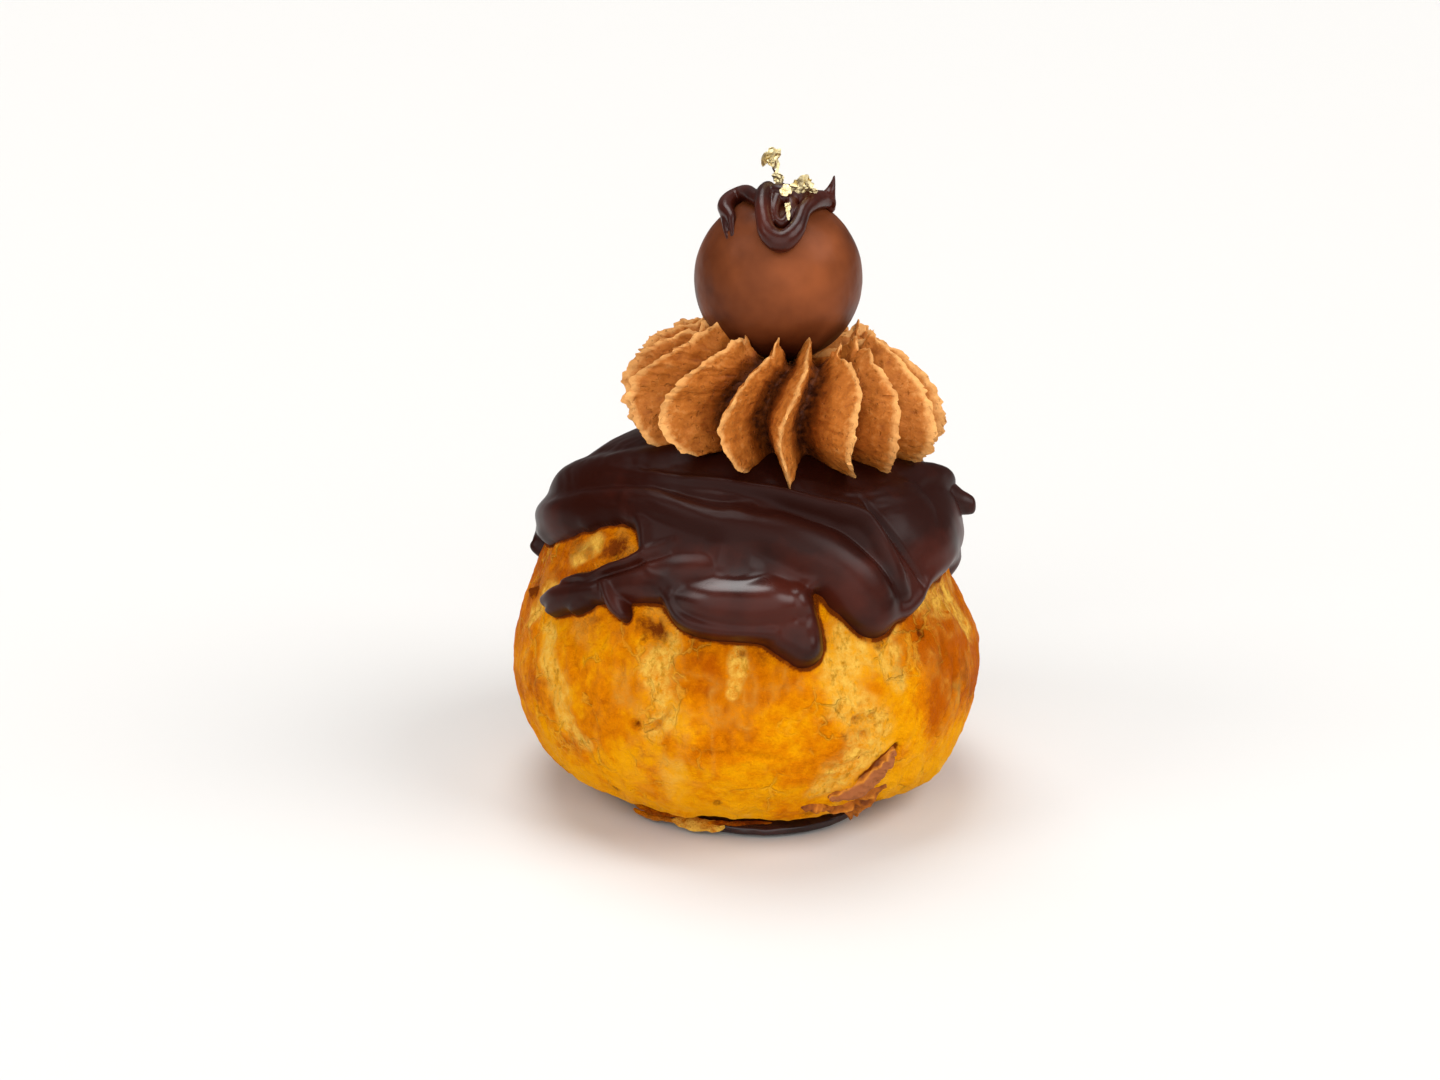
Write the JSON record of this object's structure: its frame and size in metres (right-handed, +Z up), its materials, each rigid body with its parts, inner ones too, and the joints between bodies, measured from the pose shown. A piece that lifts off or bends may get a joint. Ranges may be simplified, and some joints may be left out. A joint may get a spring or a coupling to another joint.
{
  "type": "chocolate choux bun",
  "caption": "Round choux bun with a poured chocolate glaze, a piped star of chocolate cream, a chocolate ball, a ganache squiggle and gold leaf.",
  "frame": {"origin": "middle of the flat underside that the bun stands on", "axes": "+Z up through the tower of bun, cream and ball; -Y is the front, where the longest folds and drips of glaze hang; +X is the right side, where the folded end of the glaze sticks out"},
  "size_m": [0.0718, 0.0721, 0.0974],
  "materials": {
    "ganache": "dark chocolate ganache, smooth and slightly shiny",
    "crust": "baked choux crust, golden with pale streaks and small pits, a soft sheen",
    "glaze": "poured dark chocolate, very glossy",
    "cream": "whipped milk chocolate cream, matt with fine air pits",
    "ball": "milk chocolate, satin",
    "squiggle": "dark chocolate ganache, glossy",
    "gold": "crumpled edible gold leaf, bright metal",
    "filling": "chocolate cream filling, soft and slightly moist"
  },
  "bodies": {
    "root": {"base_ganache": "ganache", "choux_bun": "crust", "chocolate_glaze": "glaze", "cream_star": "cream", "chocolate_ball": "ball", "ganache_squiggle": "squiggle", "gold_leaf": "gold", "filling_smear": "filling"}
  },
  "joints": []
}
